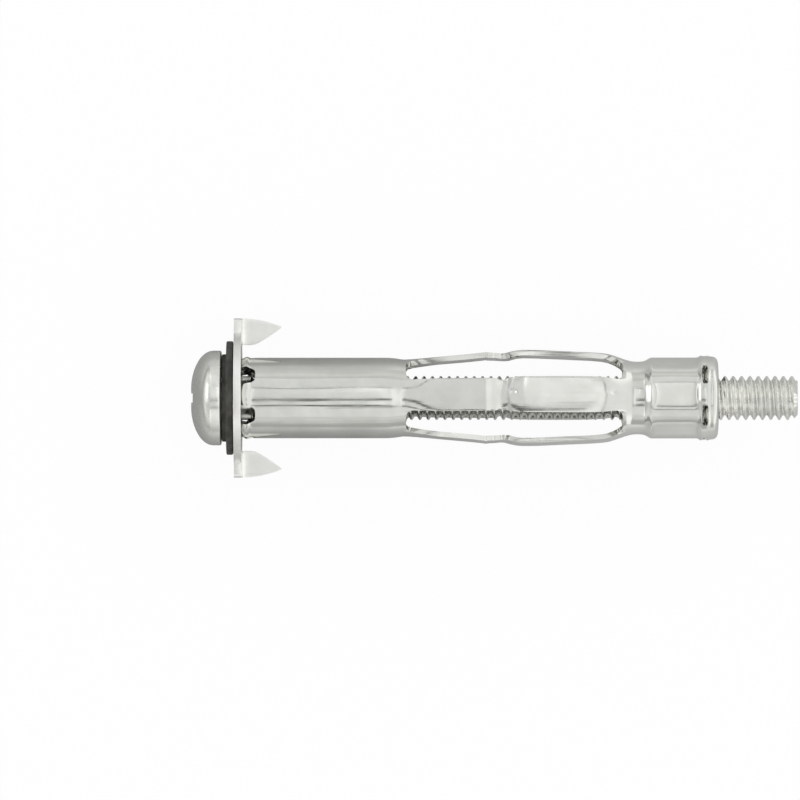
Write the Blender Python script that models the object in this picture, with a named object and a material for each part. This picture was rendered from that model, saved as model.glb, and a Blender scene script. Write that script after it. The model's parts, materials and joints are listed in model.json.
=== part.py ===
"""Hollow-wall drywall anchor, ready to be pushed into its hole.

A rolled steel sleeve with four bowed legs is crimped round a nut, and its front
tabs are riveted into a collar with two prongs. A machine screw with a fibre
washer under its head runs through all of them. Units are metres and +Z is up.

The anchor lies on its side with its axis along X: the head points to -X and the
prongs stand at +Y and -Y. Every piece is modelled about that axis, with x = 0
on the face of the collar that meets the wall. One empty sets them all down so
that the collar touches z = 0 and the anchor is centred on the origin.
"""
import math
from collections import namedtuple

import bmesh
import bpy
from mathutils import Matrix, Vector

MM = 0.001

# Fits between pieces
STACK_GAP = 0.30 * MM          # along the axis: head to washer, and nut to sleeve
RIVET_GAP = 0.15 * MM          # washer to the riveted tab ends
FIT_CLEARANCE = 0.15 * MM      # round the tabs in the collar and round the nut
SCREW_CLEARANCE = 0.30 * MM    # round the screw in the washer and the nut
RIM_CLEARANCE = 0.56 * MM      # round the screw where it leaves the sleeve

# Screw
THREAD_DIAMETER = 4.17 * MM
SCREW_LENGTH = 54.70 * MM      # under the head
TIP_CHAMFER = 0.45 * MM
HEAD_DIAMETER = 9.00 * MM
HEAD_SIDE = 1.05 * MM          # upright part of the head's side
HEAD_SHOULDER = 1.50 * MM      # radius between the side and the crown
HEAD_CROWN = 12.95 * MM        # radius of the domed crown
HEAD_EDGE = 0.15 * MM          # broken edge under the head
DRIVE_SLOT_WIDTH = 0.95 * MM
DRIVE_SLOT_DEPTH = 0.80 * MM
CROSS_SPAN = 5.00 * MM         # across two opposite wings, at the crown
CROSS_WING = 0.85 * MM         # width of one wing
CROSS_DEPTH = 2.05 * MM
CROSS_TAPER = 0.42             # size of the recess at its bottom against its mouth
HEART_WIDTH = 2.90 * MM        # across the flats of the pyramid between the wings
HEART_DEPTH = 1.85 * MM

# Washer
WASHER_DIAMETER = 10.80 * MM
WASHER_THICKNESS = 0.60 * MM
WASHER_EDGE = 0.08 * MM

# Collar, stamped from sheet with its two prongs folded forward
COLLAR_SHEET = 0.70 * MM
COLLAR_WIDTH = 2.425 * MM      # from its bore to its round edge
EAR_REACH = 1.15 * MM          # of the lugs that carry the prongs, past the round edge
EAR_WIDTH = 2.10 * MM          # from the fold line to the far side of a lug
EAR_CORNER = 0.35 * MM
NOTCH_WALL = 1.07 * MM         # sheet left between the bore and a prong's inner corner
PRONG_LENGTH = 3.75 * MM
PRONG_SHANK = 1.10 * MM        # stretch before the inner edge slants to the tip
PRONG_TIP_IN = 0.80 * MM       # from the prong's outer edge to its tip
PRONG_TIP_WIDTH = 0.12 * MM
PRONG_FOLD_RADIUS = 0.40 * MM
PRONG_FOLD_SIDE = 0.55 * MM    # from the fold line to the anchor's middle plane

# Sleeve, rolled from sheet and pressed
SLEEVE_SHEET = 0.50 * MM
TUBE_DIAMETER = 7.65 * MM
SEAM_GAP = 0.12 * MM
PATTERN_TURN = math.radians(-5.0)    # how far the legs and tabs are turned about the axis
TAB_COUNT = 6
TAB_LENGTH = 1.35 * MM         # behind the collar
TAB_SWELL = 0.20 * MM          # outward bow behind the collar
TAB_ROOT_FILLET = 0.38 * MM
RIVET_ANGLE = math.radians(40.0)     # how far the tab ends are turned out
RIVET_START = 0.10 * MM        # depth in the collar at which they turn out
RIVET_HEIGHT = 0.15 * MM       # how far they stand proud of the collar
TUBE_LENGTH = 12.40 * MM       # straight part behind the tabs
FRONT_NECK_LENGTH = 1.85 * MM
FRONT_NECK_DIAMETER = 7.26 * MM
LEG_COUNT = 4
LEG_HALF_ANGLE = math.radians(25.0)
FRONT_LEG_LENGTH = 9.20 * MM   # from the front end of the slots to the fold
REAR_LEG_LENGTH = 11.40 * MM   # from the fold to the rear end of the slots
FOLD_REACH = 1.60 * MM         # pressed stretch each way from the fold
FOLD_DIP = 0.05 * MM
FOLD_NICK = 0.80               # width of a leg at the fold against its normal width
FRONT_LEG_RISE = 0.65 * MM     # from the neck to the fold
FRONT_LEG_FLAT = 0.75          # how flat a leg is pressed ahead of the fold
REAR_LEG_RISE = 0.93 * MM      # from the neck to the crest behind the fold
REAR_LEG_SAG = 0.30 * MM       # from the crest to the shoulder
REAR_LEG_SHOULDER = 2.00 * MM  # where the rear legs come down to the neck
REAR_LEG_WIDTH = 1.08          # width of a leg behind the fold against its normal width
REAR_NECK_LENGTH = 2.80 * MM
REAR_NECK_DIAMETER = 6.94 * MM
REAR_ROOT_DIAMETER = 7.32 * MM
CRIMP_DIAMETER = 7.70 * MM
CRIMP_LENGTH = 4.30 * MM
BEAD_RISE = 0.18 * MM          # raised bead round the rear windows
REAR_WINDOW_LENGTH = 0.70 * MM
REAR_WINDOW_CORNER = 0.14 * MM
RIM_LENGTH = 0.95 * MM         # from the rear windows to the end
RIM_ROUND = 0.60 * MM
RIM_RISE = 0.10 * MM           # of the rim over the crimped part

# Nut
NUT_CHAMFER = 0.35 * MM

# Facets
SLEEVE_STEP = math.radians(10.0)
TURNED_SEGMENTS = 48
PRONG_COLUMNS = 4

# Radii and places along the axis that several pieces share
THREAD_RADIUS = THREAD_DIAMETER / 2
PASSAGE_RADIUS = THREAD_RADIUS + SCREW_CLEARANCE
HEAD_RADIUS = HEAD_DIAMETER / 2
TUBE_RADIUS = TUBE_DIAMETER / 2
COLLAR_BORE = TUBE_RADIUS + FIT_CLEARANCE
COLLAR_RADIUS = COLLAR_BORE + COLLAR_WIDTH
PRONG_INNER_Y = COLLAR_BORE + NOTCH_WALL
PRONG_OUTER_Y = COLLAR_RADIUS + EAR_REACH
FRONT_NECK_RADIUS = FRONT_NECK_DIAMETER / 2
REAR_NECK_RADIUS = REAR_NECK_DIAMETER / 2
REAR_ROOT_RADIUS = REAR_ROOT_DIAMETER / 2
CRIMP_RADIUS = CRIMP_DIAMETER / 2
RIVET_END_X = -COLLAR_SHEET - RIVET_HEIGHT + SLEEVE_SHEET * math.sin(RIVET_ANGLE)
TUBE_END_X = TAB_LENGTH + TUBE_LENGTH
SLOT_START_X = TUBE_END_X + FRONT_NECK_LENGTH
FOLD_X = SLOT_START_X + FRONT_LEG_LENGTH
SLOT_END_X = FOLD_X + REAR_LEG_LENGTH
CRIMP_START_X = SLOT_END_X + REAR_NECK_LENGTH
CRIMP_END_X = CRIMP_START_X + CRIMP_LENGTH
REAR_WINDOW_X = CRIMP_END_X + STACK_GAP
REAR_WINDOW_END_X = REAR_WINDOW_X + REAR_WINDOW_LENGTH
SLEEVE_END_X = REAR_WINDOW_END_X + RIM_LENGTH
WASHER_BACK_X = -COLLAR_SHEET - RIVET_HEIGHT - RIVET_GAP
HEAD_SEAT_X = WASHER_BACK_X - WASHER_THICKNESS - STACK_GAP
SHOULDER_X = HEAD_SEAT_X - HEAD_SIDE
SHOULDER_INSET = HEAD_RADIUS - HEAD_SHOULDER
CROWN_CENTER_X = SHOULDER_X + math.sqrt((HEAD_CROWN - HEAD_SHOULDER) ** 2 - SHOULDER_INSET**2)
HEAD_TOP_X = CROWN_CENTER_X - HEAD_CROWN
SCREW_TIP_X = HEAD_SEAT_X + SCREW_LENGTH

# The sleeve's pattern: openings stand midway between legs and midway between tabs
Opening = namedtuple("Opening", "pitch half_angle")
TAB_HALF_ANGLE = math.pi / 2 / TAB_COUNT
WINDOWS = Opening(math.tau / TAB_COUNT, TAB_HALF_ANGLE)
SLOTS = Opening(math.tau / LEG_COUNT, math.pi / LEG_COUNT - LEG_HALF_ANGLE)
SEAM_TURN = 1.5 * SLOTS.pitch


def clear_scene():
    """Remove whatever the file holds."""
    for old in list(bpy.data.objects):
        bpy.data.objects.remove(old, do_unlink=True)


def finish_material(name, color, roughness, metallic):
    """Make a Principled material."""
    material = bpy.data.materials.new(name)
    material.use_nodes = True
    shader = material.node_tree.nodes["Principled BSDF"]
    shader.inputs["Base Color"].default_value = (*color, 1.0)
    shader.inputs["Roughness"].default_value = roughness
    shader.inputs["Metallic"].default_value = metallic
    return material


def add_piece(name, mesh, carrier, material=None):
    """Turn a closed bmesh into a named object that hangs on the carrier."""
    bmesh.ops.recalc_face_normals(mesh, faces=mesh.faces)
    data = bpy.data.meshes.new(name)
    mesh.to_mesh(data)
    mesh.free()
    if material:
        data.materials.append(material)
    data.shade_smooth()
    data.set_sharp_from_angle(angle=math.radians(32.0))
    piece = bpy.data.objects.new(name, data)
    bpy.context.scene.collection.objects.link(piece)
    piece.parent = carrier
    return piece


def cut(piece, cutter):
    """Cut a piece with a shape that isn't part of the anchor."""
    cutter.hide_render = True
    cutter.display_type = "WIRE"
    boolean = piece.modifiers.new(cutter.name, "BOOLEAN")
    boolean.operation = "DIFFERENCE"
    boolean.solver = "EXACT"
    boolean.object = cutter


def blend(start, end, share):
    """Value between two values."""
    return start + (end - start) * share


def arc(center, radius, start, end, steps):
    """Points on an arc round a centre, both ends included."""
    angles = [blend(start, end, step / steps) for step in range(steps + 1)]
    return [(center[0] + radius * math.cos(a), center[1] + radius * math.sin(a)) for a in angles]


def lofted(loops, close_ends):
    """Skin a row of equal loops; the last one meets the first, or both ends are capped."""
    mesh = bmesh.new()
    rings = [[mesh.verts.new(point) for point in loop] for loop in loops]
    pairs = list(zip(rings, rings[1:]))
    if close_ends:
        mesh.faces.new(rings[0])
        mesh.faces.new(rings[-1])
    else:
        pairs.append((rings[-1], rings[0]))
    count = len(rings[0])
    for low, high in pairs:
        for i in range(count):
            j = (i + 1) % count
            mesh.faces.new((low[i], low[j], high[j], high[i]))
    return mesh


def turned(profile, closed=True):
    """Spin a profile of (x, radius) points round the X axis, with a flat facet underneath."""
    mesh = bmesh.new()
    start = Matrix.Rotation(math.pi / TURNED_SEGMENTS, 3, "X")
    verts = [mesh.verts.new(start @ Vector((x, 0.0, radius))) for x, radius in profile]
    pairs = list(zip(verts, verts[1:]))
    if closed:
        pairs.append((verts[-1], verts[0]))
    edges = [mesh.edges.new(pair) for pair in pairs]
    bmesh.ops.spin(
        mesh, geom=verts + edges, cent=(0, 0, 0), axis=(1, 0, 0),
        angle=math.tau, steps=TURNED_SEGMENTS, use_merge=True,
    )
    bmesh.ops.remove_doubles(mesh, verts=mesh.verts, dist=0.001 * MM)
    return mesh


def build_screw(material, carrier):
    """Pan-head machine screw with a slot and a cross recess.

    The head's side runs into the shoulder, and the shoulder into the crown, each
    arc tangent to the next. The recess is two wings crossed in a pyramid.
    """
    meet = math.pi - math.atan2(SHOULDER_INSET, CROWN_CENTER_X - SHOULDER_X)
    crown = arc((CROWN_CENTER_X, 0.0), HEAD_CROWN, math.pi, meet, 5)
    shoulder = arc((SHOULDER_X, SHOULDER_INSET), HEAD_SHOULDER, meet, math.pi / 2, 6)
    profile = [(HEAD_TOP_X, 0.0)] + crown[1:] + shoulder[1:] + [
        (HEAD_SEAT_X - HEAD_EDGE, HEAD_RADIUS),
        (HEAD_SEAT_X, HEAD_RADIUS - HEAD_EDGE),
        (HEAD_SEAT_X, THREAD_RADIUS),
        (SCREW_TIP_X - TIP_CHAMFER, THREAD_RADIUS),
        (SCREW_TIP_X, THREAD_RADIUS - TIP_CHAMFER),
        (SCREW_TIP_X, 0.0),
    ]
    screw = add_piece("screw", turned(profile, closed=False), carrier, material)
    slot = (2 * DRIVE_SLOT_DEPTH, 2 * HEAD_DIAMETER, DRIVE_SLOT_WIDTH)
    wing = (CROSS_SPAN, CROSS_WING)
    heart = (HEART_WIDTH, HEART_WIDTH)
    cut(screw, bar_cutter("drive_slot", slot, carrier))
    cut(screw, recess_cutter("cross_wing_a", wing, 0.0, CROSS_DEPTH, carrier))
    cut(screw, recess_cutter("cross_wing_b", wing, math.pi / 2, CROSS_DEPTH, carrier))
    cut(screw, recess_cutter("cross_heart", heart, math.pi / 4, HEART_DEPTH, carrier))


def bar_cutter(name, size, carrier):
    """Cutter in the shape of a bar, centred on the crown of the head."""
    mesh = bmesh.new()
    bmesh.ops.create_cube(mesh, size=1.0)
    bmesh.ops.scale(mesh, vec=Vector(size), verts=mesh.verts)
    bmesh.ops.translate(mesh, vec=(HEAD_TOP_X, 0.0, 0.0), verts=mesh.verts)
    return add_piece(name, mesh, carrier)


def recess_cutter(name, mouth, turn, depth, carrier):
    """Cutter that tapers from its mouth at the crown to the bottom of the recess.

    A wing tapers in its length only, and the pyramid between them on all sides.
    """
    loops = []
    taper = (1 - CROSS_TAPER) / depth
    for x in (HEAD_TOP_X - depth, HEAD_TOP_X + depth):
        share = 1 - taper * (x - HEAD_TOP_X)
        half_y = share * mouth[0] / 2
        half_z = share * mouth[1] / 2 if mouth[0] == mouth[1] else mouth[1] / 2
        corners = [(-half_y, -half_z), (half_y, -half_z), (half_y, half_z), (-half_y, half_z)]
        loops.append([(x, y, z) for y, z in corners])
    mesh = lofted(loops, close_ends=True)
    bmesh.ops.rotate(mesh, cent=(0, 0, 0), verts=mesh.verts, matrix=Matrix.Rotation(turn, 3, "X"))
    return add_piece(name, mesh, carrier)


def build_washer(material, carrier):
    """Flat fibre washer between the head and the collar."""
    back = WASHER_BACK_X
    front = back - WASHER_THICKNESS
    outer = WASHER_DIAMETER / 2
    profile = [
        (front, PASSAGE_RADIUS), (front, outer - WASHER_EDGE), (front + WASHER_EDGE, outer),
        (back - WASHER_EDGE, outer), (back, outer - WASHER_EDGE), (back, PASSAGE_RADIUS),
    ]
    add_piece("washer", turned(profile), carrier, material)


def prong_points(inner, outer):
    """Places in Y of a prong's columns, from its inner to its outer edge."""
    return [blend(inner, outer, column / PRONG_COLUMNS) for column in range(PRONG_COLUMNS + 1)]


def collar_half_outline():
    """Outline of the +Y half of the collar, from its lowest point to its highest.

    Each entry is a point (y, z) and whether it lies on the prong's fold line.
    """
    fold = -PRONG_FOLD_SIDE
    ear_top = fold + EAR_WIDTH
    notch_angle = -math.acos(PRONG_INNER_Y / COLLAR_RADIUS)
    ear_angle = math.asin(ear_top / COLLAR_RADIUS)
    below = arc((0, 0), COLLAR_RADIUS, -math.pi / 2, notch_angle, 8)
    corner_center = (PRONG_OUTER_Y - EAR_CORNER, ear_top - EAR_CORNER)
    corner = arc(corner_center, EAR_CORNER, 0.0, math.pi / 2, 3)
    above = arc((0, 0), COLLAR_RADIUS, ear_angle, math.pi / 2, 12)
    outline = [(point, False) for point in below]
    outline += [((y, fold), True) for y in prong_points(PRONG_INNER_Y, PRONG_OUTER_Y)]
    outline += [(point, False) for point in corner + above]
    return outline


def prong_rows():
    """Rows of a prong from its fold to its tip, as (x, z, inner edge, outer edge)."""
    tip = PRONG_OUTER_Y - PRONG_TIP_IN
    half_tip = PRONG_TIP_WIDTH / 2
    fold_center = (PRONG_FOLD_RADIUS, -PRONG_FOLD_SIDE)
    bend = arc(fold_center, PRONG_FOLD_RADIUS, math.pi, 1.5 * math.pi, 3)[1:]
    face_z = bend[-1][1]
    straight = [(blend(PRONG_SHANK, PRONG_LENGTH, step / 4), face_z) for step in range(5)]
    rows = []
    for x, z in bend + straight:
        slant = max(0.0, (x - PRONG_SHANK) / (PRONG_LENGTH - PRONG_SHANK))
        inner = blend(PRONG_INNER_Y, tip - half_tip, slant**1.2)
        outer = blend(PRONG_OUTER_Y, tip + half_tip, (x / PRONG_LENGTH) ** 2)
        rows.append((x, z, inner, outer))
    return rows


def face_outward(mesh, outward):
    """Turn the faces of an open sheet so that they look along a direction at their middle."""
    bmesh.ops.recalc_face_normals(mesh, faces=mesh.faces)
    mesh.normal_update()
    agreement = sum(face.normal.dot(outward(face.calc_center_median())) for face in mesh.faces)
    if agreement < 0:
        bmesh.ops.reverse_faces(mesh, faces=mesh.faces)


def build_collar(material, carrier):
    """Sheet collar with two folded prongs, bored and countersunk for the sleeve's tabs."""
    mesh = bmesh.new()
    half = collar_half_outline()
    outline = [(1, point, on_fold) for point, on_fold in half]
    outline += [(-1, point, on_fold) for point, on_fold in half[-2:0:-1]]
    fold_lines = {1: [], -1: []}
    edge = []
    for side, (y, z), on_fold in outline:
        edge.append(mesh.verts.new((0.0, side * y, z)))
        if on_fold:
            fold_lines[side].append(edge[-1])
    circle = arc((0, 0), COLLAR_BORE, 0.0, math.tau, TURNED_SEGMENTS)[1:]
    bore = [mesh.verts.new((0.0, y, z)) for y, z in circle]
    edges = []
    for loop in (edge, bore):
        edges += [mesh.edges.new(pair) for pair in zip(loop, loop[1:] + loop[:1])]
    bmesh.ops.triangle_fill(mesh, use_beauty=True, edges=edges, normal=(1, 0, 0))
    for side, fold_line in fold_lines.items():
        previous = sorted(fold_line, key=lambda vert: abs(vert.co.y))
        for x, z, inner, outer in prong_rows():
            row = [mesh.verts.new((x, side * y, z)) for y in prong_points(inner, outer)]
            for column in range(PRONG_COLUMNS):
                near = previous[column:column + 2]
                mesh.faces.new(near + row[column:column + 2][::-1])
            previous = row
    face_outward(mesh, lambda place: Vector((1.0, 0.0, 0.2)))
    bmesh.ops.solidify(mesh, geom=mesh.faces, thickness=COLLAR_SHEET)
    collar = add_piece("collar_plate", mesh, carrier, material)
    cut(collar, add_piece("rivet_countersink", turned(countersink_profile()), carrier))


def countersink_profile():
    """Profile of the recess that takes the turned-out tab ends."""
    start = FIT_CLEARANCE * math.tan(RIVET_ANGLE / 2) - RIVET_START
    end = start - 2 * COLLAR_SHEET
    mouth = COLLAR_BORE + (start - end) * math.tan(RIVET_ANGLE)
    return [(start, TUBE_RADIUS), (start, COLLAR_BORE), (end, mouth), (end, TUBE_RADIUS)]


Ring = namedtuple("Ring", "x radius section flat spread six curved reach opening")


def ring(x, radius, section=None, flat=0.0, spread=1.0, six=0.0, curved=None, reach=0.0, opening=None):
    """One ring of the sleeve's sheet.

    radius is the outer radius over a leg's middle, section the radius to which the
    sheet is curved, flat how flat a leg is pressed, spread its width against normal,
    and six how far the sheet is pressed on to the nut's six flats. curved is the kind
    of opening whose rounded end the ring follows, reach the length of that end, and
    opening what is punched out between this ring and the next.
    """
    return Ring(x, radius, section or radius, flat, spread, six, curved, reach, opening)


def smooth(share):
    """Ease from 0 to 1 with level ends."""
    share = min(1.0, max(0.0, share))
    return share * share * (3 - 2 * share)


def tab_rings():
    """Riveted ends, bowed stretch behind the collar and roots of the tabs."""
    slope = math.tan(RIVET_ANGLE)
    rings = []
    for share in (1.0, 0.5, 0.0):
        x = blend(-RIVET_START, RIVET_END_X, share)
        rings.append(ring(x, TUBE_RADIUS - slope * (RIVET_START + x), opening=WINDOWS))
    root = TAB_LENGTH - TAB_ROOT_FILLET
    for step in range(1, 5):
        share = step / 5
        swell = TAB_SWELL * math.sin(math.pi * share) ** 2
        rings.append(ring(blend(0.0, root, share), TUBE_RADIUS + swell, opening=WINDOWS))
    rings.append(ring(root, TUBE_RADIUS, curved=WINDOWS, reach=TAB_ROOT_FILLET))
    return rings


def tube_rings():
    """Straight tube and the neck in front of the legs."""
    rings = [ring(TAB_LENGTH + share * TUBE_LENGTH, TUBE_RADIUS) for share in (0.03, 0.5, 1.0)]
    for share in (0.2, 0.4, 0.6, 0.85):
        radius = blend(TUBE_RADIUS, FRONT_NECK_RADIUS, smooth(share / 0.6))
        rings.append(ring(TUBE_END_X + share * FRONT_NECK_LENGTH, radius))
    return rings


def leg_rings():
    """Bowed legs between the slots: flat ahead of the fold, curved behind it."""
    neck = FRONT_NECK_RADIUS
    end_round = SLOTS.half_angle * neck
    start = SLOT_START_X + end_round
    fold_start = FOLD_X - FOLD_REACH
    fold_end = FOLD_X + FOLD_REACH
    shoulder = SLOT_END_X - REAR_LEG_SHOULDER
    end = SLOT_END_X - end_round
    ridge = neck + FRONT_LEG_RISE
    crest = neck + REAR_LEG_RISE
    rings = []
    for share, flat in ((0.0, 0.25), (0.3, 1.0), (0.65, 1.0), (1.0, 1.0)):
        x = blend(start, fold_start, share)
        radius = neck + FRONT_LEG_RISE * (x - SLOT_START_X) / (fold_start - SLOT_START_X)
        rings.append(ring(x, radius, neck, flat * FRONT_LEG_FLAT, opening=SLOTS))
    rings[0] = rings[0]._replace(curved=SLOTS, reach=-end_round)
    for share, lift, flat, nick in ((-0.4, -1.0, 1.0, 0.4), (0.0, -1.0, 0.8, 1.0), (0.4, 1.0, 0.4, 0.3)):
        x = FOLD_X + share * FOLD_REACH
        spread = 1 - nick * (1 - FOLD_NICK)
        rings.append(ring(x, ridge + lift * FOLD_DIP, neck, flat * FRONT_LEG_FLAT, spread, opening=SLOTS))
    for share in (0.0, 0.35, 0.7, 1.0):
        x = blend(fold_end, shoulder, share)
        radius = crest - REAR_LEG_SAG * share**2
        rings.append(ring(x, radius, neck, 0.0, REAR_LEG_WIDTH, opening=SLOTS))
    drop = (end - shoulder) / REAR_LEG_SHOULDER
    radius = blend(crest - REAR_LEG_SAG, REAR_ROOT_RADIUS, drop)
    rings.append(ring(end, radius, neck, curved=SLOTS, reach=end_round))
    return rings


def rear_rings():
    """Rear neck, six-sided crimp, bead with windows, and the rim turned in at the end."""
    rings = []
    for share in (0.1, 0.35, 0.62):
        radius = blend(REAR_ROOT_RADIUS, REAR_NECK_RADIUS, smooth(share / 0.62))
        rings.append(ring(SLOT_END_X + share * REAR_NECK_LENGTH, radius))
    for share in (0.8, 1.0):
        radius = blend(REAR_NECK_RADIUS, CRIMP_RADIUS, smooth((share - 0.62) / 0.38))
        rings.append(ring(SLOT_END_X + share * REAR_NECK_LENGTH, radius))
    for share in (0.06, 0.94):
        rings.append(ring(blend(CRIMP_START_X, CRIMP_END_X, share), CRIMP_RADIUS, six=1.0))
    bead = CRIMP_RADIUS + BEAD_RISE
    corner = REAR_WINDOW_CORNER
    middle = (REAR_WINDOW_X + REAR_WINDOW_END_X) / 2
    low = blend(CRIMP_RADIUS, bead, 0.6)
    rings += [
        ring(REAR_WINDOW_X + corner, low, six=0.5, curved=WINDOWS, reach=-corner, opening=WINDOWS),
        ring(middle, bead, opening=WINDOWS),
        ring(REAR_WINDOW_END_X - corner, low, curved=WINDOWS, reach=corner),
    ]
    rim = CRIMP_RADIUS + RIM_RISE
    turn_in = arc((SLEEVE_END_X - RIM_ROUND, rim - RIM_ROUND), RIM_ROUND, math.pi / 2, 0.0, 4)
    rings += [ring(x, radius) for x, radius in turn_in]
    rings.append(ring(SLEEVE_END_X, THREAD_RADIUS + RIM_CLEARANCE))
    return rings


def from_middle(turn, pitch):
    """Angle from the nearest leg's or tab's middle."""
    return (turn + pitch / 2) % pitch - pitch / 2


def across(turn, opening):
    """Place across the nearest opening: 0 at its middle, 1 and -1 at its edges."""
    return (turn % opening.pitch - opening.pitch / 2) / opening.half_angle


def sheet_point(place, turn):
    """Point of the sleeve's outer face on a ring, at a turn from the first leg's middle."""
    x = place.x
    if place.curved and abs(across(turn, place.curved)) < 1:
        share = across(turn, place.curved) * math.pi / 2
        middle = turn - across(turn, place.curved) * place.curved.half_angle
        turn = middle + place.curved.half_angle * math.sin(share)
        x += place.reach * math.cos(share)
    side_turn = from_middle(turn, SLOTS.pitch)
    middle = turn - side_turn
    if abs(side_turn) < LEG_HALF_ANGLE * 1.001:
        side_turn *= place.spread
        out = place.radius - (1 - place.flat) * place.section * (1 - math.cos(side_turn))
    else:
        out = place.section * math.cos(side_turn)
    side = place.section * math.sin(side_turn)
    tab_turn = from_middle(turn, WINDOWS.pitch)
    if abs(tab_turn) < TAB_HALF_ANGLE:
        pressed = math.cos(TAB_HALF_ANGLE) / math.cos(tab_turn)
        out *= blend(1.0, pressed, place.six)
        side *= blend(1.0, pressed, place.six)
    angle = middle + PATTERN_TURN
    return Vector((
        x,
        -out * math.sin(angle) - side * math.cos(angle),
        out * math.cos(angle) - side * math.sin(angle),
    ))


def pattern_turns():
    """Turns of the sheet's columns, from one edge of the seam round to the other."""
    corners = {0.0, math.tau}
    for opening in (WINDOWS, SLOTS):
        for index in range(round(math.tau / opening.pitch)):
            middle = (index + 0.5) * opening.pitch - SEAM_TURN
            for side in (-1, 0, 1):
                corners.add(round((middle + side * opening.half_angle) % math.tau, 6))
    corners = sorted(corners)
    corners = [a for a, b in zip(corners, corners[1:]) if b - a > math.radians(1.0)] + corners[-1:]
    turns = []
    for start, end in zip(corners, corners[1:]):
        count = math.ceil((end - start) / SLEEVE_STEP - 0.01)
        turns += [blend(start, end, step / count) for step in range(count)]
    turns.append(corners[-1])
    seam_half = SEAM_GAP / 2 / TUBE_RADIUS
    turns[0] += seam_half
    turns[-1] -= seam_half
    return [SEAM_TURN + turn for turn in turns]


def build_sleeve(material, carrier):
    """Form the sleeve as its sheet is made: punched flat, rolled, pressed, then given its wall."""
    rings = tab_rings() + tube_rings() + leg_rings() + rear_rings()
    turns = pattern_turns()
    mesh = bmesh.new()
    grid = [[mesh.verts.new(sheet_point(place, turn)) for turn in turns] for place in rings]
    for row, place in enumerate(rings[:-1]):
        for column in range(len(turns) - 1):
            middle = (turns[column] + turns[column + 1]) / 2
            if place.opening and abs(across(middle, place.opening)) < 1:
                continue
            near, far = grid[row], grid[row + 1]
            mesh.faces.new((near[column], near[column + 1], far[column + 1], far[column]))
    loose = [vert for vert in mesh.verts if not vert.link_faces]
    bmesh.ops.delete(mesh, geom=loose, context="VERTS")
    face_outward(mesh, lambda place: Vector((0.0, place.y, place.z)))
    bmesh.ops.solidify(mesh, geom=mesh.faces, thickness=SLEEVE_SHEET)
    add_piece("sleeve", mesh, carrier, material)


def build_nut(material, carrier):
    """Nut with six flats that the sleeve is crimped on to."""
    round_radius = CRIMP_RADIUS - SLEEVE_SHEET - FIT_CLEARANCE
    flat_radius = CRIMP_RADIUS * math.cos(TAB_HALF_ANGLE) - SLEEVE_SHEET - FIT_CLEARANCE
    start = CRIMP_START_X + STACK_GAP
    end = CRIMP_END_X
    turns = [math.tau * step / TURNED_SEGMENTS for step in range(TURNED_SEGMENTS)]

    def loop(x, inset, bore):
        points = []
        for turn in turns:
            flat = flat_radius / math.cos(from_middle(turn, WINDOWS.pitch))
            radius = bore or min(round_radius, flat) - inset
            angle = turn + PATTERN_TURN
            points.append((x, -radius * math.sin(angle), radius * math.cos(angle)))
        return points

    lead = 0.5 * NUT_CHAMFER
    loops = [
        loop(start, NUT_CHAMFER, None), loop(start + NUT_CHAMFER, 0.0, None),
        loop(end - NUT_CHAMFER, 0.0, None), loop(end, NUT_CHAMFER, None),
        loop(end, 0.0, PASSAGE_RADIUS + lead), loop(end - lead, 0.0, PASSAGE_RADIUS),
        loop(start + lead, 0.0, PASSAGE_RADIUS), loop(start, 0.0, PASSAGE_RADIUS + lead),
    ]
    add_piece("nut", lofted(loops, close_ends=False), carrier, material)


def build_anchor():
    """Build every piece and set the anchor down on its collar."""
    clear_scene()
    zinc = finish_material("zinc_plated_steel", (0.70, 0.71, 0.69), 0.28, 1.0)
    fibre = finish_material("dark_fibre", (0.05, 0.05, 0.045), 0.75, 0.0)
    carrier = bpy.data.objects.new("anchor_axis", None)
    carrier.location = (-(HEAD_TOP_X + SCREW_TIP_X) / 2, 0.0, COLLAR_RADIUS)
    bpy.context.scene.collection.objects.link(carrier)
    build_sleeve(zinc, carrier)
    build_collar(zinc, carrier)
    build_nut(zinc, carrier)
    build_washer(fibre, carrier)
    build_screw(zinc, carrier)


build_anchor()
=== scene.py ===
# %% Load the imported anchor
import json
import math

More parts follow.
